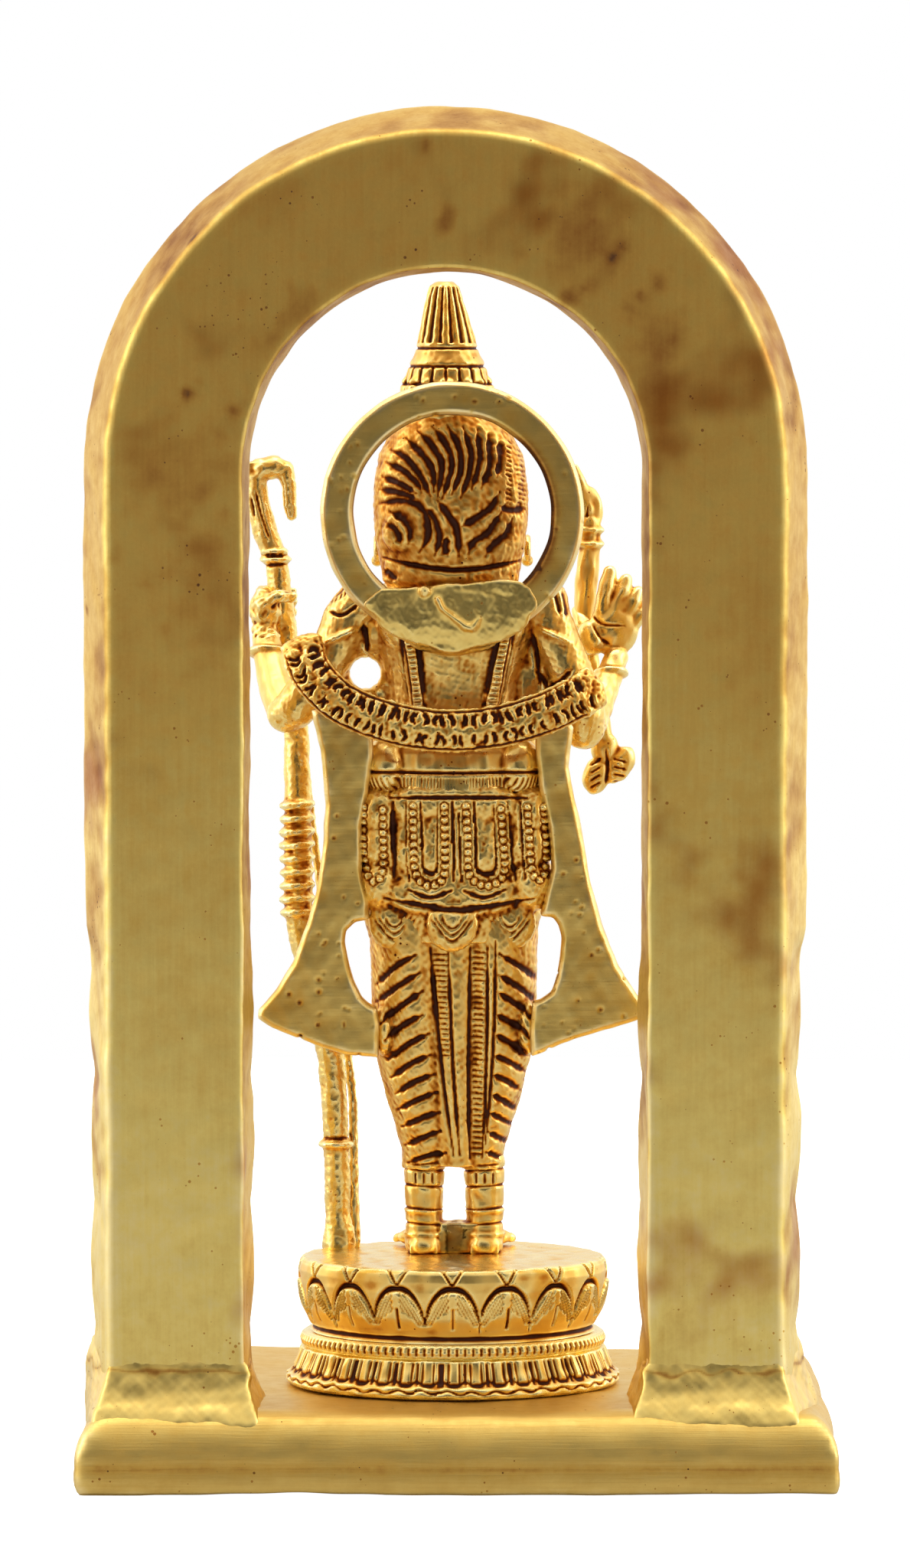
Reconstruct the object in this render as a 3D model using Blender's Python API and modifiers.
"""Brass statue of a standing bow bearer on an oval lotus pedestal, in front of a plain arch.

Metres, +Z up. The origin is the middle of the base plate's underside, the figure faces -Y,
and the figure's left hand is on the +X side.
"""
import math

import bmesh
import bpy
from mathutils import Matrix, Vector

OBJECT_NAME = "bow_bearer_statue"
CUTTERS_NAME = "cutters"

GAP = 0.0003
RING_POINTS = 20
SMOOTH_ANGLE = math.radians(40)

# Base plate
BASE_HALF_X = 0.0526
BASE_HALF_Y = 0.0355
BASE_EDGE = 0.0037
BASE_HEIGHT = 0.0111
BASE_TOP_HALF_X = 0.0496
BASE_TOP_HALF_Y = 0.0305
BASE_BEVEL = 0.0004

# Arch
ARCH_X = 0.0018
ARCH_CENTRE_Z = 0.1402
ARCH_BACK_Y = 0.0295
ARCH_FRONT_Y = 0.0175
ARCH_BACK_OUTER = 0.0464
ARCH_BACK_INNER = 0.0278
ARCH_FRONT_OUTER = 0.0501
ARCH_FRONT_INNER = 0.0271
ARCH_RIM = 0.0042
ARCH_RIM_HEIGHT = 0.0012
ARCH_EDGE_ROUND = 0.0009
ARCH_STEPS = 28
ARCH_FOOT_Z = 0.0144
TENON_HALF_X = 0.0045
TENON_HALF_Y = 0.0028
TENON_BOTTOM = 0.0064
BRAZE_SPREAD = 0.0005

# Pedestal, an oval turned form whose depth is a fixed part of its width
PEDESTAL_X = 0.0008
PEDESTAL_Y = 0.0044
PEDESTAL_DEPTH_RATIO = 0.81
PEDESTAL_STEPS = 36
SPIGOT_RADIUS = 0.0055
SPIGOT_LENGTH = 0.0030
SEAT_TOP = 0.0292

# Figure
FIGURE_X = 0.0009
FIGURE_Y = 0.0015
ANKLE_X = 0.0041
TOE_TURN = math.radians(14)
HALO_CENTRE_Z = 0.1339
HALO_OUTER = 0.0184
HALO_INNER = 0.0138
HALO_FRONT_Y = 0.0084
HALO_THICKNESS = 0.0020
PANEL_THICKNESS = 0.0015
TAIL_FRONT_Y = 0.0066
TAIL_THICKNESS = 0.0026


def clear_scene():
    """Remove every object that the scene starts with."""
    for item in list(bpy.data.objects):
        bpy.data.objects.remove(item, do_unlink=True)


def new_group(name):
    """Return a new collection linked to the scene."""
    group = bpy.data.collections.new(name)
    bpy.context.scene.collection.children.link(group)
    return group


def brass(name, colour, roughness):
    """Return a metallic material for one sub-part."""
    material = bpy.data.materials.new(name)
    material.use_nodes = True
    shader = material.node_tree.nodes["Principled BSDF"]
    shader.inputs["Base Color"].default_value = (*colour, 1.0)
    shader.inputs["Roughness"].default_value = roughness
    shader.inputs["Metallic"].default_value = 1.0
    return material


def add_object(name, mesh, group):
    """Wrap a mesh in an object, shade it smooth and give it its own brass."""
    item = bpy.data.objects.new(name, mesh)
    group.objects.link(item)
    mesh.shade_smooth()
    mesh.set_sharp_from_angle(angle=SMOOTH_ANGLE)
    if group is cutters:
        item.hide_render = True
        item.display_type = "WIRE"
        return item
    colour, roughness = finish
    mesh.materials.append(brass(name, colour, roughness))
    return item


def add_form(name, form, group):
    """Turn a bmesh into an object with its faces pointing out."""
    bmesh.ops.remove_doubles(form, verts=form.verts, dist=0.00001)
    bmesh.ops.recalc_face_normals(form, faces=form.faces)
    mesh = bpy.data.meshes.new(name)
    form.to_mesh(mesh)
    form.free()
    return add_object(name, mesh, group)


def skin_rings(form, rings):
    """Join rings of equal count into one closed skin with flat ends."""
    for lower, upper in zip(rings, rings[1:]):
        count = len(lower)
        for index in range(count):
            following = (index + 1) % count
            form.faces.new((lower[index], lower[following], upper[following], upper[index]))
    form.faces.new(list(reversed(rings[0])))
    form.faces.new(rings[-1])


def loft(name, sections, group, grow=0.0, power=2.0, count=RING_POINTS):
    """Skin a stack of level ovals given as (x, y, z, half width, half depth)."""
    form = bmesh.new()
    rings = []
    last = len(sections) - 1
    for place, (x, y, z, half_x, half_y) in enumerate(sections):
        level = z - grow if place == 0 else z + grow if place == last else z
        ring = []
        for index in range(count):
            angle = math.tau * (index + 0.5) / count
            across = math.copysign(abs(math.cos(angle)) ** (2.0 / power), math.cos(angle))
            along = math.copysign(abs(math.sin(angle)) ** (2.0 / power), math.sin(angle))
            corner = (x + (half_x + grow) * across, y + (half_y + grow) * along, level)
            ring.append(form.verts.new(corner))
        rings.append(ring)
    skin_rings(form, rings)
    return add_form(name, form, group)


def tube(name, stations, group, grow=0.0, resolution=4):
    """Sweep a round section along stations given as (x, y, z, radius)."""
    points = [Vector(station[:3]) for station in stations]
    radii = [station[3] + grow for station in stations]
    points[0] = points[0] + (points[0] - points[1]).normalized() * grow
    points[-1] = points[-1] + (points[-1] - points[-2]).normalized() * grow
    curve = bpy.data.curves.new(name + "_path", "CURVE")
    curve.dimensions = "3D"
    curve.bevel_depth = 1.0
    curve.bevel_resolution = resolution
    curve.use_fill_caps = True
    spline = curve.splines.new("POLY")
    spline.points.add(len(points) - 1)
    for spline_point, point, radius in zip(spline.points, points, radii):
        spline_point.co = (*point, 1.0)
        spline_point.radius = radius
    return curve_to_solid(name, curve, group)


def curve_to_solid(name, curve, group):
    """Turn a curve into a welded mesh object and drop the curve."""
    guide = bpy.data.objects.new(name + "_guide", curve)
    bpy.context.scene.collection.objects.link(guide)
    graph = bpy.context.evaluated_depsgraph_get()
    mesh = bpy.data.meshes.new_from_object(guide.evaluated_get(graph))
    bpy.data.objects.remove(guide, do_unlink=True)
    form = bmesh.new()
    form.from_mesh(mesh)
    bpy.data.meshes.remove(mesh)
    return add_form(name, form, group)


def plate(name, outline, front_y, thickness, group):
    """Fill an outline given as (x, z) points and give it thickness towards +Y."""
    curve = bpy.data.curves.new(name + "_outline", "CURVE")
    curve.dimensions = "2D"
    curve.fill_mode = "BOTH"
    curve.extrude = thickness / 2
    spline = curve.splines.new("POLY")
    spline.points.add(len(outline) - 1)
    for spline_point, (x, z) in zip(spline.points, outline):
        spline_point.co = (x, z, 0.0, 1.0)
    spline.use_cyclic_u = True
    item = curve_to_solid(name, curve, group)
    upright = Matrix.Rotation(math.pi / 2, 4, "X")
    item.data.transform(Matrix.Translation((0.0, front_y + thickness / 2, 0.0)) @ upright)
    return item


def turned(name, profile, group, centre, depth_ratio=1.0, steps=PEDESTAL_STEPS):
    """Spin a profile of (radius, z) points about a vertical axis, then flatten it in Y."""
    form = bmesh.new()
    chain = [form.verts.new((radius, 0.0, z)) for radius, z in profile]
    for lower, upper in zip(chain, chain[1:]):
        form.edges.new((lower, upper))
    bmesh.ops.spin(
        form,
        geom=form.verts[:] + form.edges[:],
        cent=(0, 0, 0),
        axis=(0, 0, 1),
        angle=math.tau,
        steps=steps,
        use_merge=True,
    )
    bmesh.ops.scale(form, vec=(1.0, depth_ratio, 1.0), verts=form.verts)
    bmesh.ops.translate(form, vec=(centre[0], centre[1], 0.0), verts=form.verts)
    return add_form(name, form, group)


def block(name, low, high, group):
    """Make a box between two corners."""
    form = bmesh.new()
    bmesh.ops.create_cube(form, size=1.0)
    size = [top - bottom for bottom, top in zip(low, high)]
    middle = [(top + bottom) / 2 for bottom, top in zip(low, high)]
    bmesh.ops.scale(form, vec=size, verts=form.verts)
    bmesh.ops.translate(form, vec=middle, verts=form.verts)
    return add_form(name, form, group)


def hoop(name, centre, direction, major, minor, group):
    """Make a ring of round section whose hole points along a direction."""
    bpy.ops.mesh.primitive_torus_add(
        major_radius=major, minor_radius=minor, major_segments=18, minor_segments=6
    )
    helper = bpy.context.object
    mesh = helper.data
    bpy.data.objects.remove(helper, do_unlink=True)
    turn = Vector((0, 0, 1)).rotation_difference(Vector(direction)).to_matrix().to_4x4()
    mesh.transform(Matrix.Translation(centre) @ turn)
    mesh.name = name
    return add_object(name, mesh, group)


def cut(piece, cutter):
    """Take a cutter's shape out of a piece."""
    modifier = piece.modifiers.new("cut_" + cutter.name, "BOOLEAN")
    modifier.operation = "DIFFERENCE"
    modifier.solver = "EXACT"
    modifier.object = cutter


def join(piece, addition):
    """Unite a further shape with a piece."""
    modifier = piece.modifiers.new("join_" + addition.name, "BOOLEAN")
    modifier.operation = "UNION"
    modifier.solver = "EXACT"
    modifier.object = addition


def mirrored(rows):
    """Reflect rows that start with an x coordinate across the figure's middle plane."""
    return [(2 * FIGURE_X - row[0], *row[1:]) for row in rows]


def arc(centre, radius, start, end, steps):
    """Return points along an arc in the XZ plane, angles in degrees."""
    points = []
    for index in range(steps + 1):
        angle = math.radians(start + (end - start) * index / steps)
        points.append((centre[0] + radius * math.cos(angle), centre[1] + radius * math.sin(angle)))
    return points


clear_scene()
parts = new_group(OBJECT_NAME)
cutters = new_group(CUTTERS_NAME)

OLIVE_BRASS = ((0.38, 0.26, 0.09), 0.42)
BRIGHT_BRASS = ((0.62, 0.44, 0.17), 0.30)
DARK_BRASS = ((0.20, 0.12, 0.05), 0.50)

# ---------------------------------------------------------------------------
# Base plate with its sockets
# ---------------------------------------------------------------------------
finish = OLIVE_BRASS
form = bmesh.new()
bmesh.ops.create_cube(form, size=1.0)
bmesh.ops.scale(form, vec=(2 * BASE_HALF_X, 2 * BASE_HALF_Y, BASE_EDGE), verts=form.verts)
bmesh.ops.translate(form, vec=(0, 0, BASE_EDGE / 2), verts=form.verts)
top_face = max(form.faces, key=lambda face: face.calc_center_median().z)
slope = bmesh.ops.extrude_discrete_faces(form, faces=[top_face])["faces"][0]
bmesh.ops.translate(form, vec=(0, 0, BASE_HEIGHT - BASE_EDGE), verts=slope.verts)
narrowing = (BASE_TOP_HALF_X / BASE_HALF_X, BASE_TOP_HALF_Y / BASE_HALF_Y, 1.0)
bmesh.ops.scale(form, vec=narrowing, verts=slope.verts)
base_plate = add_form("base_plate", form, parts)
edge_bevel = base_plate.modifiers.new("edge_bevel", "BEVEL")
edge_bevel.width = BASE_BEVEL
edge_bevel.segments = 1

# ---------------------------------------------------------------------------
# Arch, one casting whose section runs up a leg, round the top and down the other leg
# ---------------------------------------------------------------------------
floor_y = ARCH_FRONT_Y + ARCH_RIM_HEIGHT
ARCH_SECTION = [
    (ARCH_BACK_INNER, ARCH_BACK_Y),
    (ARCH_FRONT_INNER, ARCH_FRONT_Y + ARCH_EDGE_ROUND),
    (ARCH_FRONT_INNER + ARCH_EDGE_ROUND, ARCH_FRONT_Y),
    (ARCH_FRONT_INNER + ARCH_RIM, ARCH_FRONT_Y),
    (ARCH_FRONT_INNER + ARCH_RIM + ARCH_EDGE_ROUND, floor_y),
    (ARCH_FRONT_OUTER - ARCH_RIM - ARCH_EDGE_ROUND, floor_y),
    (ARCH_FRONT_OUTER - ARCH_RIM, ARCH_FRONT_Y),
    (ARCH_FRONT_OUTER - ARCH_EDGE_ROUND, ARCH_FRONT_Y),
    (ARCH_FRONT_OUTER, ARCH_FRONT_Y + ARCH_EDGE_ROUND),
    (ARCH_BACK_OUTER, ARCH_BACK_Y),
]
form = bmesh.new()
rings = []
left_foot = [form.verts.new((ARCH_X + reach, y, ARCH_FOOT_Z)) for reach, y in ARCH_SECTION]
rings.append(left_foot)
for step in range(ARCH_STEPS + 1):
    angle = math.pi * step / ARCH_STEPS
    ring = []
    for reach, y in ARCH_SECTION:
        place = (ARCH_X + reach * math.cos(angle), y, ARCH_CENTRE_Z + reach * math.sin(angle))
        ring.append(form.verts.new(place))
    rings.append(ring)
right_foot = [form.verts.new((ARCH_X - reach, y, ARCH_FOOT_Z)) for reach, y in ARCH_SECTION]
rings.append(right_foot)
skin_rings(form, rings)
arch = add_form("arch", form, parts)

leg_reach = (ARCH_BACK_INNER + ARCH_BACK_OUTER) / 2
leg_half = (ARCH_FRONT_OUTER - ARCH_FRONT_INNER) / 2
leg_y = (ARCH_FRONT_Y + ARCH_BACK_Y) / 2
for side, side_name in ((1, "left"), (-1, "right")):
    finish = OLIVE_BRASS
    x = ARCH_X + side * leg_reach
    tenon = block(
        side_name + "_tenon",
        (x - TENON_HALF_X, leg_y - TENON_HALF_Y, TENON_BOTTOM),
        (x + TENON_HALF_X, leg_y + TENON_HALF_Y, ARCH_FOOT_Z + 0.002),
        cutters,
    )
    join(arch, tenon)
    mortise = block(
        side_name + "_mortise",
        (x - TENON_HALF_X - GAP, leg_y - TENON_HALF_Y - GAP, TENON_BOTTOM - GAP),
        (x + TENON_HALF_X + GAP, leg_y + TENON_HALF_Y + GAP, ARCH_FOOT_Z + 0.004),
        cutters,
    )
    cut(base_plate, mortise)
    # The braze pad fills the joint between a leg and the plate, wider at its foot.
    finish = DARK_BRASS
    middle = ARCH_X + side * (ARCH_FRONT_INNER + ARCH_FRONT_OUTER) / 2
    depth = (ARCH_BACK_Y - ARCH_FRONT_Y) / 2
    pad = loft(
        "arch_" + side_name + "_braze",
        [
            (middle, leg_y, BASE_HEIGHT + GAP, leg_half + BRAZE_SPREAD, depth + BRAZE_SPREAD),
            (middle, leg_y, BASE_HEIGHT + 0.0012, leg_half + 0.0003, depth + 0.0003),
            (middle, leg_y, ARCH_FOOT_Z - GAP, leg_half - 0.0003, depth - 0.0003),
        ],
        parts,
        power=12.0,
        count=28,
    )
    cut(pad, mortise)

# ---------------------------------------------------------------------------
# Oval pedestal: fluted foot, ticked band, lotus bowl and the seat on top
# ---------------------------------------------------------------------------
PEDESTAL_CENTRE = (PEDESTAL_X, PEDESTAL_Y)


def tier(name, outer, bottom, top, spigot, socket):
    """Turn one oval tier with a spigot below it and a socket above it."""
    profile = [(0.0, bottom - SPIGOT_LENGTH), (spigot, bottom - SPIGOT_LENGTH), (spigot, bottom)]
    if not spigot:
        profile = [(0.0, bottom)]
    profile = profile + outer
    if socket:
        depth = top - SPIGOT_LENGTH - GAP
        profile = profile + [(socket, top), (socket, depth), (0.0, depth)]
    else:
        profile = profile + [(0.0, top)]
    profile.reverse()
    return turned(name, profile, parts, PEDESTAL_CENTRE, PEDESTAL_DEPTH_RATIO)


finish = BRIGHT_BRASS
foot_bottom = BASE_HEIGHT + GAP
FOOT_PROFILE = [
    (0.0228, foot_bottom),
    (0.0234, foot_bottom + 0.0010),
    (0.0230, foot_bottom + 0.0020),
    (0.0220, foot_bottom + 0.0036),
    (0.0211, foot_bottom + 0.0052),
]
tier("pedestal_foot", FOOT_PROFILE, foot_bottom, 0.0166, SPIGOT_RADIUS, SPIGOT_RADIUS + GAP)
BAND_PROFILE = [(0.0209, 0.0169), (0.0212, 0.0173), (0.0212, 0.0182), (0.0208, 0.0186)]
tier("pedestal_band", BAND_PROFILE, 0.0169, 0.0186, SPIGOT_RADIUS, 0.0)
BOWL_PROFILE = [
    (0.0196, 0.0189),
    (0.0203, 0.0200),
    (0.0212, 0.0224),
    (0.0217, 0.0250),
    (0.0218, 0.0268),
    (0.0214, 0.0274),
]
tier("lotus_bowl", BOWL_PROFILE, 0.0189, 0.0274, 0.0, 0.0)
SEAT_PROFILE = [(0.0212, 0.0277), (0.0217, 0.0281), (0.0216, 0.0288), (0.0211, SEAT_TOP)]
lotus_seat = tier("lotus_seat", SEAT_PROFILE, 0.0277, SEAT_TOP, 0.0, 0.0)

base_socket = turned(
    "base_socket",
    [
        (0.0, BASE_HEIGHT + 0.004),
        (SPIGOT_RADIUS + GAP, BASE_HEIGHT + 0.004),
        (SPIGOT_RADIUS + GAP, foot_bottom - SPIGOT_LENGTH - GAP),
        (0.0, foot_bottom - SPIGOT_LENGTH - GAP),
    ],
    cutters,
    PEDESTAL_CENTRE,
    PEDESTAL_DEPTH_RATIO,
)
cut(base_plate, base_socket)

# ---------------------------------------------------------------------------
# Feet, anklets and dhoti legs
# ---------------------------------------------------------------------------
PEG_RADIUS = 0.0013
PEG_BOTTOM = 0.0283
SOLE_Z = SEAT_TOP + GAP
LEFT_FOOT = [
    (FIGURE_X + ANKLE_X, 0.0000, PEG_BOTTOM, PEG_RADIUS, PEG_RADIUS),
    (FIGURE_X + ANKLE_X, 0.0000, SOLE_Z, PEG_RADIUS, PEG_RADIUS),
    (FIGURE_X + ANKLE_X, -0.0036, SOLE_Z, 0.0026, 0.0068),
    (FIGURE_X + ANKLE_X, -0.0035, 0.0310, 0.0030, 0.0070),
    (FIGURE_X + ANKLE_X, -0.0022, 0.0326, 0.0028, 0.0055),
    (FIGURE_X + ANKLE_X, -0.0002, 0.0346, 0.0025, 0.0034),
    (FIGURE_X + ANKLE_X, 0.0006, 0.0378, 0.0026, 0.0027),
]
LEFT_ANKLET = [
    (FIGURE_X + ANKLE_X, 0.0006, 0.0381, 0.0028, 0.0029),
    (FIGURE_X + ANKLE_X, 0.0006, 0.0387, 0.0031, 0.0033),
    (FIGURE_X + ANKLE_X, 0.0006, 0.0407, 0.0031, 0.0033),
    (FIGURE_X + ANKLE_X, 0.0006, 0.0413, 0.0028, 0.0030),
]
LEFT_LEG = [
    (FIGURE_X + 0.0040, 0.0008, 0.0416, 0.0035, 0.0040),
    (FIGURE_X + 0.0038, 0.0009, 0.0446, 0.0036, 0.0046),
    (FIGURE_X + 0.0047, 0.0011, 0.0500, 0.0045, 0.0056),
    (FIGURE_X + 0.0056, 0.0012, 0.0566, 0.0054, 0.0062),
    (FIGURE_X + 0.0058, 0.0014, 0.0640, 0.0056, 0.0067),
    (FIGURE_X + 0.00595, FIGURE_Y, 0.0739, 0.00575, 0.0071),
]
finish = BRIGHT_BRASS
for side_name, flip, turn in (("left", list, TOE_TURN), ("right", mirrored, -TOE_TURN)):
    foot = loft(side_name + "_foot", flip(LEFT_FOOT), parts, count=18)
    pivot_x = flip(LEFT_FOOT)[0][0]
    swing = Matrix.Translation((pivot_x, 0, 0)) @ Matrix.Rotation(turn, 4, "Z")
    foot.data.transform(swing @ Matrix.Translation((-pivot_x, 0, 0)))
    hole = loft(
        side_name + "_peg_hole",
        [
            (pivot_x, 0.0, PEG_BOTTOM, PEG_RADIUS + GAP, PEG_RADIUS + GAP),
            (pivot_x, 0.0, SOLE_Z + 0.002, PEG_RADIUS + GAP, PEG_RADIUS + GAP),
        ],
        cutters,
        grow=GAP,
        count=18,
    )
    cut(lotus_seat, hole)
    loft(side_name + "_anklet", flip(LEFT_ANKLET), parts)
    loft(side_name + "_leg", flip(LEFT_LEG), parts, power=2.4)

# ---------------------------------------------------------------------------
# Hips, belt and torso
# ---------------------------------------------------------------------------
HIPS = [
    (FIGURE_X, FIGURE_Y, 0.0742, 0.0118, 0.0072),
    (FIGURE_X, FIGURE_Y, 0.0800, 0.0130, 0.0077),
    (FIGURE_X, FIGURE_Y, 0.0880, 0.0138, 0.0080),
    (FIGURE_X, FIGURE_Y, 0.0925, 0.0130, 0.0076),
    (FIGURE_X, FIGURE_Y, 0.0940, 0.0120, 0.0070),
]
BELT = [
    (FIGURE_X, FIGURE_Y, 0.0943, 0.0117, 0.0072),
    (FIGURE_X, FIGURE_Y, 0.0949, 0.0121, 0.0076),
    (FIGURE_X, FIGURE_Y, 0.0984, 0.0119, 0.0075),
    (FIGURE_X, FIGURE_Y, 0.0990, 0.0114, 0.0070),
]
TORSO = [
    (FIGURE_X, FIGURE_Y, 0.0993, 0.0106, 0.0062),
    (FIGURE_X, FIGURE_Y, 0.1040, 0.0102, 0.0060),
    (FIGURE_X, FIGURE_Y, 0.1100, 0.0110, 0.0064),
    (FIGURE_X, FIGURE_Y, 0.1160, 0.0120, 0.0066),
    (FIGURE_X, FIGURE_Y, 0.1205, 0.0122, 0.0062),
    (FIGURE_X, FIGURE_Y, 0.1235, 0.0095, 0.0052),
    (FIGURE_X, FIGURE_Y, 0.1250, 0.0058, 0.0044),
]
loft("hips", HIPS, parts, count=24)
loft("belt", BELT, parts, count=28)
loft("torso", TORSO, parts, count=24)
hips_room = loft("hips_room", HIPS, cutters, grow=GAP, count=24)
belt_room = loft("belt_room", BELT, cutters, grow=GAP, count=28)
torso_room = loft("torso_room", TORSO, cutters, grow=GAP, count=24)
legs_room = [
    loft("left_leg_room", LEFT_LEG, cutters, grow=GAP, power=2.4),
    loft("right_leg_room", mirrored(LEFT_LEG), cutters, grow=GAP, power=2.4),
]

finish = OLIVE_BRASS
STRAP_HALF = 0.0010
for side, side_name in ((1, "left"), (-1, "right")):
    strap = plate(
        side_name + "_back_strap",
        [
            (FIGURE_X + side * (0.0075 + STRAP_HALF), 0.1164),
            (FIGURE_X + side * (0.0075 - STRAP_HALF), 0.1164),
            (FIGURE_X + side * (0.0050 - STRAP_HALF), 0.1078),
            (FIGURE_X + side * (0.0050 + STRAP_HALF), 0.1078),
        ],
        FIGURE_Y + 0.0030,
        0.0048,
        parts,
    )
    cut(strap, torso_room)

# ---------------------------------------------------------------------------
# Skirt panels, pleats and the clasp
# ---------------------------------------------------------------------------
APRON_HALF = 0.0126
APRON_TOP = 0.0936
APRON_BOTTOM = 0.0770
SCALLOP_COUNT = 3


def apron_outline():
    """Outline of a skirt panel whose lower edge falls in equal scallops."""
    outline = [(FIGURE_X - APRON_HALF, APRON_TOP), (FIGURE_X + APRON_HALF, APRON_TOP)]
    radius = APRON_HALF / SCALLOP_COUNT
    for index in range(SCALLOP_COUNT):
        centre_x = FIGURE_X + APRON_HALF - radius * (2 * index + 1)
        lobe = arc((centre_x, APRON_BOTTOM), radius, 0, -180, 8)
        outline = outline + (lobe if index == SCALLOP_COUNT - 1 else lobe[:-1])
    return outline


apron_back_y = FIGURE_Y + 0.0080 + GAP
plate("back_apron", apron_outline(), apron_back_y, PANEL_THICKNESS, parts)
front_panel_y = FIGURE_Y - 0.0080 - GAP - PANEL_THICKNESS
plate("front_apron", apron_outline(), front_panel_y, PANEL_THICKNESS, parts)


def pleat_outline(top_z):
    """Outline of a long pleat that tapers towards the ankles."""
    return [
        (FIGURE_X - 0.0048, top_z),
        (FIGURE_X + 0.0048, top_z),
        (FIGURE_X + 0.0030, 0.0560),
        (FIGURE_X + 0.0016, 0.0430),
        (FIGURE_X - 0.0016, 0.0430),
        (FIGURE_X - 0.0030, 0.0560),
    ]


for pleat_name, start_y in (("back_pleat", 0.0048), ("front_pleat", -0.0068)):
    pleat = plate(pleat_name, pleat_outline(0.0722), start_y, 0.0050, parts)
    for room in legs_room:
        cut(pleat, room)

turned(
    "belt_clasp",
    [(0.0, 0.0), (0.0026, 0.0), (0.0030, -0.0005), (0.0026, -0.0011), (0.0, -0.0013)],
    parts,
    (0.0, 0.0),
    steps=20,
)
clasp = bpy.data.objects["belt_clasp"]
clasp_y = FIGURE_Y - 0.0076 - GAP - 0.0013
clasp.data.transform(Matrix.Rotation(-math.pi / 2, 4, "X"))
clasp.data.transform(Matrix.Translation((FIGURE_X, clasp_y, 0.0966)))

# ---------------------------------------------------------------------------
# Head, hair, crown and ear rings
# ---------------------------------------------------------------------------
HEAD = [
    (FIGURE_X, FIGURE_Y, 0.1253, 0.0045, 0.0041),
    (FIGURE_X, FIGURE_Y - 0.0002, 0.1272, 0.0043, 0.0042),
    (FIGURE_X, FIGURE_Y - 0.0012, 0.1286, 0.0052, 0.0056),
    (FIGURE_X, FIGURE_Y - 0.0012, 0.1320, 0.0071, 0.0069),
    (FIGURE_X, FIGURE_Y - 0.0010, 0.1370, 0.0080, 0.0074),
    (FIGURE_X, FIGURE_Y - 0.0008, 0.1420, 0.0076, 0.0072),
    (FIGURE_X, FIGURE_Y - 0.0006, 0.1455, 0.0058, 0.0056),
    (FIGURE_X, FIGURE_Y - 0.0004, 0.1470, 0.0030, 0.0030),
]
HAIR = [
    (FIGURE_X, FIGURE_Y + 0.0010, 0.1272, 0.0070, 0.0060),
    (FIGURE_X, FIGURE_Y + 0.0008, 0.1290, 0.0094, 0.0078),
    (FIGURE_X, FIGURE_Y + 0.0004, 0.1330, 0.0107, 0.0088),
    (FIGURE_X, FIGURE_Y, 0.1380, 0.0110, 0.0092),
    (FIGURE_X, FIGURE_Y, 0.1430, 0.0098, 0.0086),
    (FIGURE_X, FIGURE_Y, 0.1465, 0.0078, 0.0070),
    (FIGURE_X, FIGURE_Y, 0.1478, 0.0060, 0.0056),
]
finish = BRIGHT_BRASS
loft("head", HEAD, parts)
head_room = loft("head_room", HEAD, cutters, grow=GAP)
hair = loft("hair", HAIR, parts, count=24)
cut(hair, head_room)
face_room = loft(
    "face_room",
    [
        (FIGURE_X, FIGURE_Y - 0.0100, 0.1262, 0.0074, 0.0096),
        (FIGURE_X, FIGURE_Y - 0.0100, 0.1400, 0.0074, 0.0096),
        (FIGURE_X, FIGURE_Y - 0.0100, 0.1432, 0.0050, 0.0080),
    ],
    cutters,
)
cut(hair, face_room)
turned(
    "crown",
    [
        (0.0, 0.1664),
        (0.0006, 0.1660),
        (0.0016, 0.1640),
        (0.0032, 0.1608),
        (0.0043, 0.1578),
        (0.0049, 0.1572),
        (0.0049, 0.1556),
        (0.0061, 0.1550),
        (0.0063, 0.1520),
        (0.0066, 0.1500),
        (0.0066, 0.1481),
        (0.0, 0.1481),
    ],
    parts,
    (FIGURE_X + 0.0007, FIGURE_Y),
    steps=20,
)
for side, side_name in ((1, "left"), (-1, "right")):
    place = (FIGURE_X + side * 0.0106, FIGURE_Y - 0.0048, 0.1286)
    hoop(side_name + "_earring", place, (1, 0.25 * side, 0), 0.0014, 0.0005, parts)

# ---------------------------------------------------------------------------
# Halo ring and the braze patch that holds it to the back
# ---------------------------------------------------------------------------
finish = OLIVE_BRASS
form = bmesh.new()
HALO_SECTION = [
    (HALO_INNER, HALO_FRONT_Y),
    (HALO_OUTER, HALO_FRONT_Y),
    (HALO_OUTER, HALO_FRONT_Y + HALO_THICKNESS),
    (HALO_INNER, HALO_FRONT_Y + HALO_THICKNESS),
]
corners = [form.verts.new((FIGURE_X + reach, y, HALO_CENTRE_Z)) for reach, y in HALO_SECTION]
for corner, following in zip(corners, corners[1:] + corners[:1]):
    form.edges.new((corner, following))
bmesh.ops.spin(
    form,
    geom=form.verts[:] + form.edges[:],
    cent=(FIGURE_X, 0, HALO_CENTRE_Z),
    axis=(0, 1, 0),
    angle=math.tau,
    steps=48,
    use_merge=True,
)
add_form("halo_ring", form, parts)

finish = DARK_BRASS
halo_back_y = HALO_FRONT_Y + HALO_THICKNESS
BRAZE_OUTLINE = [
    (FIGURE_X + 0.0088, 0.1236),
    (FIGURE_X + 0.0125, 0.1200),
    (FIGURE_X + 0.0078, 0.1178),
    (FIGURE_X + 0.0030, 0.1152),
    (FIGURE_X - 0.0020, 0.1146),
    (FIGURE_X - 0.0075, 0.1176),
    (FIGURE_X - 0.0136, 0.1212),
    (FIGURE_X - 0.0086, 0.1236),
]
plate("halo_braze", BRAZE_OUTLINE, halo_back_y + GAP, 0.0010, parts)

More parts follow.
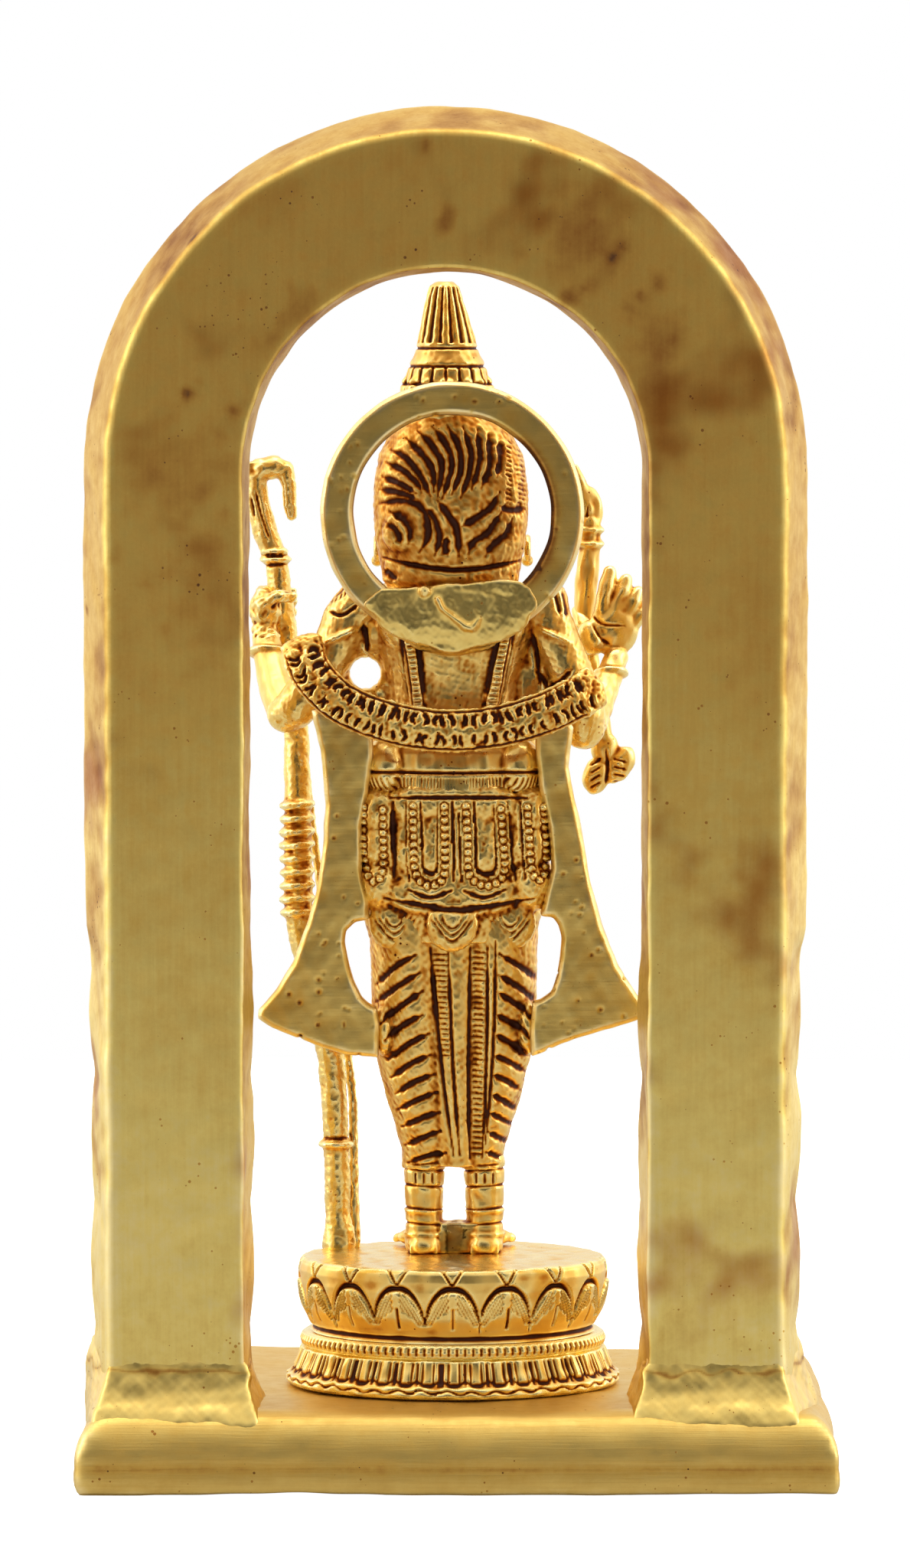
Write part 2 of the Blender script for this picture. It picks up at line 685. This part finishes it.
# ---------------------------------------------------------------------------
# Bow, its string and the arrow
# ---------------------------------------------------------------------------
BOW = [
    (0.0172, -0.0040, SOLE_Z, 0.0024),
    (0.0172, -0.0040, 0.0320, 0.0022),
    (0.0173, -0.0040, 0.0335, 0.0016),
    (0.0172, -0.0040, 0.0430, 0.0016),
    (0.0172, -0.0040, 0.0434, 0.0025),
    (0.0172, -0.0040, 0.0446, 0.0025),
    (0.0172, -0.0040, 0.0450, 0.0016),
    (0.0176, -0.0041, 0.0547, 0.0019),
    (0.0198, -0.0045, 0.0655, 0.0020),
    (0.0222, -0.0049, 0.0760, 0.0020),
    (0.0224, -0.0050, 0.0764, 0.0024),
    (0.0224, -0.0053, 0.0850, 0.0022),
    (0.0225, -0.0057, 0.0928, 0.0021),
    (0.0226, -0.0060, 0.0932, 0.0017),
    (0.0229, -0.0074, 0.1020, 0.0017),
    (0.0238, -0.0086, 0.1100, 0.0017),
    (0.0254, -0.0090, 0.1176, 0.0017),
    (0.0270, -0.0090, 0.1240, 0.0016),
    (0.0273, -0.0090, 0.1256, 0.0022),
    (0.0274, -0.0090, 0.1270, 0.0022),
    (0.0275, -0.0090, 0.1286, 0.0017),
    (0.0278, -0.0090, 0.1340, 0.0020),
    (0.0278, -0.0090, 0.1378, 0.0021),
    (0.0270, -0.0090, 0.1398, 0.0019),
    (0.0256, -0.0090, 0.1403, 0.0016),
    (0.0244, -0.0090, 0.1392, 0.0013),
    (0.0240, -0.0090, 0.1366, 0.0010),
    (0.0236, -0.0090, 0.1338, 0.0006),
]
finish = BRIGHT_BRASS
tube("bow", BOW, parts, resolution=3)
bow_room = tube("bow_room", BOW, cutters, grow=GAP, resolution=3)
STRING = [
    (0.0147, -0.0052, SOLE_Z + 0.0001, 0.0006),
    (0.0149, -0.0058, 0.0500, 0.0006),
    (0.0166, -0.0072, 0.0640, 0.0006),
    (0.0192, -0.0084, 0.0780, 0.0006),
    (0.0208, -0.0092, 0.0900, 0.0006),
    (0.0220, -0.0098, 0.1000, 0.0006),
    (0.0229, -0.0104, 0.1060, 0.0006),
]
bow_string = tube("bow_string", STRING, parts, resolution=2)
cut(bow_string, bow_room)

ARROW = [
    (-0.0222, -0.0096, 0.0944, 0.0016, 0.0008),
    (-0.0214, -0.0096, 0.0960, 0.0037, 0.0012),
    (-0.0214, -0.0096, 0.0985, 0.0038, 0.0012),
    (-0.0214, -0.0097, 0.1008, 0.0026, 0.0012),
    (-0.0212, -0.0098, 0.1030, 0.0012, 0.0012),
    (-0.0200, -0.0104, 0.1150, 0.0012, 0.0012),
    (-0.0190, -0.0106, 0.1262, 0.0012, 0.0012),
    (-0.0188, -0.0106, 0.1284, 0.0017, 0.0015),
    (-0.0187, -0.0106, 0.1296, 0.0017, 0.0015),
    (-0.0186, -0.0106, 0.1306, 0.0010, 0.0010),
    (-0.0184, -0.0106, 0.1326, 0.0030, 0.0011),
    (-0.0177, -0.0106, 0.1366, 0.0022, 0.0010),
    (-0.0166, -0.0106, 0.1406, 0.0003, 0.0003),
]
loft("arrow", ARROW, parts, count=12)
arrow_room = loft("arrow_room", ARROW, cutters, grow=GAP, count=12)

# ---------------------------------------------------------------------------
# Arms, armlets and bracelets
# ---------------------------------------------------------------------------
LEFT_UPPER_ARM = [
    (0.0135, 0.0015, 0.1222, 0.0030),
    (0.0155, 0.0015, 0.1212, 0.0040),
    (0.0188, 0.0020, 0.1165, 0.0038),
    (0.0214, 0.0026, 0.1112, 0.0034),
    (0.0234, 0.0030, 0.1075, 0.0031),
    (0.0240, 0.0028, 0.1050, 0.0027),
]
LEFT_FOREARM = [
    (0.0248, 0.0012, 0.1056, 0.0030),
    (0.0260, -0.0012, 0.1088, 0.0026),
    (0.0266, -0.0040, 0.1128, 0.0023),
    (0.0267, -0.0062, 0.1144, 0.0028),
    (0.0266, -0.0080, 0.1162, 0.0038),
    (0.0264, -0.0084, 0.1192, 0.0038),
    (0.0266, -0.0084, 0.1208, 0.0030),
]
RIGHT_UPPER_ARM = [
    (-0.0118, 0.0015, 0.1222, 0.0030),
    (-0.0138, 0.0015, 0.1210, 0.0040),
    (-0.0166, 0.0020, 0.1155, 0.0038),
    (-0.0192, 0.0026, 0.1090, 0.0034),
    (-0.0208, 0.0030, 0.1048, 0.0031),
    (-0.0212, 0.0028, 0.1024, 0.0027),
]
RIGHT_FOREARM = [
    (-0.0216, 0.0010, 0.1034, 0.0030),
    (-0.0222, -0.0022, 0.1068, 0.0027),
    (-0.0226, -0.0052, 0.1112, 0.0024),
    (-0.0228, -0.0068, 0.1142, 0.0024),
    (-0.0230, -0.0072, 0.1170, 0.0030),
    (-0.0232, -0.0072, 0.1206, 0.0030),
    (-0.0232, -0.0072, 0.1216, 0.0024),
]
left_upper = tube("left_upper_arm", LEFT_UPPER_ARM, parts, resolution=6)
left_forearm = tube("left_forearm", LEFT_FOREARM, parts, resolution=6)
right_upper = tube("right_upper_arm", RIGHT_UPPER_ARM, parts, resolution=6)
right_forearm = tube("right_forearm", RIGHT_FOREARM, parts, resolution=6)
left_upper_room = tube("left_upper_room", LEFT_UPPER_ARM, cutters, grow=GAP, resolution=6)
right_upper_room = tube("right_upper_room", RIGHT_UPPER_ARM, cutters, grow=GAP, resolution=6)
cut(left_upper, torso_room)
cut(right_upper, torso_room)

FINGER_RADIUS = 0.0009
FINGER_ROOT_Z = 0.1200
FINGERS = [(-0.0210, 0.1252), (-0.0226, 0.1256), (-0.0242, 0.1250), (-0.0256, 0.1240)]
for number, (x, tip_z) in enumerate(FINGERS):
    finger = tube(
        "right_finger_%d" % number,
        [(x + 0.0002, -0.0074, FINGER_ROOT_Z, FINGER_RADIUS), (x, -0.0076, tip_z, FINGER_RADIUS)],
        cutters,
        resolution=2,
    )
    join(right_forearm, finger)
thumb = tube(
    "right_thumb",
    [
        (-0.0214, -0.0080, 0.1165, 0.0012),
        (-0.0182, -0.0086, 0.1180, 0.0012),
        (-0.0172, -0.0108, 0.1192, 0.0010),
        (-0.0184, -0.0128, 0.1198, 0.0009),
    ],
    cutters,
    resolution=2,
)
join(right_forearm, thumb)
cut(right_forearm, arrow_room)
cut(right_forearm, right_upper_room)
cut(left_forearm, left_upper_room)
cut(left_forearm, bow_room)


def clear_hoop(name, start, end, share, minor):
    """Put a ring round a limb between two of its stations, clear of its surface."""
    low = Vector(start[:3])
    high = Vector(end[:3])
    radius = start[3] + (end[3] - start[3]) * share
    centre = low.lerp(high, share)
    hoop(name, centre, high - low, max(start[3], radius) + GAP + minor, minor, parts)


clear_hoop("left_armlet", LEFT_UPPER_ARM[2], LEFT_UPPER_ARM[3], 0.35, 0.0008)
clear_hoop("right_armlet", RIGHT_UPPER_ARM[2], RIGHT_UPPER_ARM[3], 0.35, 0.0008)
clear_hoop("left_bracelet", LEFT_FOREARM[1], LEFT_FOREARM[2], 0.55, 0.0006)
clear_hoop("right_bracelet", RIGHT_FOREARM[1], RIGHT_FOREARM[2], 0.60, 0.0006)

# ---------------------------------------------------------------------------
# Necklace
# ---------------------------------------------------------------------------
NECKLACE_HALF = [
    (FIGURE_X + 0.0062, -0.0028, 0.1226, 0.0008),
    (FIGURE_X + 0.0056, -0.0046, 0.1196, 0.0010),
    (FIGURE_X + 0.0034, -0.0052, 0.1166, 0.0012),
    (FIGURE_X, -0.0054, 0.1152, 0.0014),
]
NECKLACE = NECKLACE_HALF + list(reversed(mirrored(NECKLACE_HALF[:-1])))
necklace = tube("necklace", NECKLACE, parts)
cut(necklace, torso_room)

# ---------------------------------------------------------------------------
# Shawl: the band that sags behind the back and the two flat tails
# ---------------------------------------------------------------------------
BAND_HALF_HEIGHT = 0.0024
BAND_HALF_THICK = 0.0010
SHAWL_ENDS = ((0.0196, 0.0086, 0.1104), (-0.0196, 0.0090, 0.1080))
SHAWL_SAG = ((0.0009, 0.0136, 0.1030))
SHAWL_STEPS = 16
form = bmesh.new()
rings = []
for step in range(SHAWL_STEPS + 1):
    share = step / SHAWL_STEPS
    start, end = (Vector(point) for point in SHAWL_ENDS)
    middle = Vector(SHAWL_SAG)
    control = 2 * middle - (start + end) / 2
    here = start * (1 - share) ** 2 + control * 2 * share * (1 - share) + end * share ** 2
    along = ((control - start) * (1 - share) + (end - control) * share).normalized()
    out = along.cross(Vector((0, 0, 1))).normalized()
    if out.y < 0:
        out.negate()
    up = Vector((0, 0, 1))
    ring = []
    for across, rise in ((1, -1), (1, 1), (-1, 1), (-1, -1)):
        corner = here + out * BAND_HALF_THICK * across + up * BAND_HALF_HEIGHT * rise
        ring.append(form.verts.new(corner))
    rings.append(ring)
skin_rings(form, rings)
shawl_band = add_form("shawl_band", form, parts)
for room in (left_upper_room, right_upper_room, torso_room):
    cut(shawl_band, room)

LEFT_TAIL = [
    (0.0126, 0.1000),
    (0.0196, 0.1014),
    (0.0204, 0.0945),
    (0.0203, 0.0880),
    (0.0212, 0.0820),
    (0.0227, 0.0760),
    (0.0248, 0.0695),
    (0.0281, 0.0634),
    (0.0272, 0.0622),
    (0.0205, 0.0594),
    (0.0120, 0.0576),
    (0.0118, 0.0648),
    (0.0152, 0.0655),
    (0.0153, 0.0700),
    (0.0146, 0.0762),
    (0.0132, 0.0775),
    (0.0110, 0.0800),
    (0.0110, 0.0985),
]
for side_name, outline in (("left", LEFT_TAIL), ("right", mirrored(LEFT_TAIL))):
    tail = plate("shawl_" + side_name + "_tail", outline, TAIL_FRONT_Y, TAIL_THICKNESS, parts)
    for room in [hips_room, belt_room, torso_room] + legs_room:
        cut(tail, room)
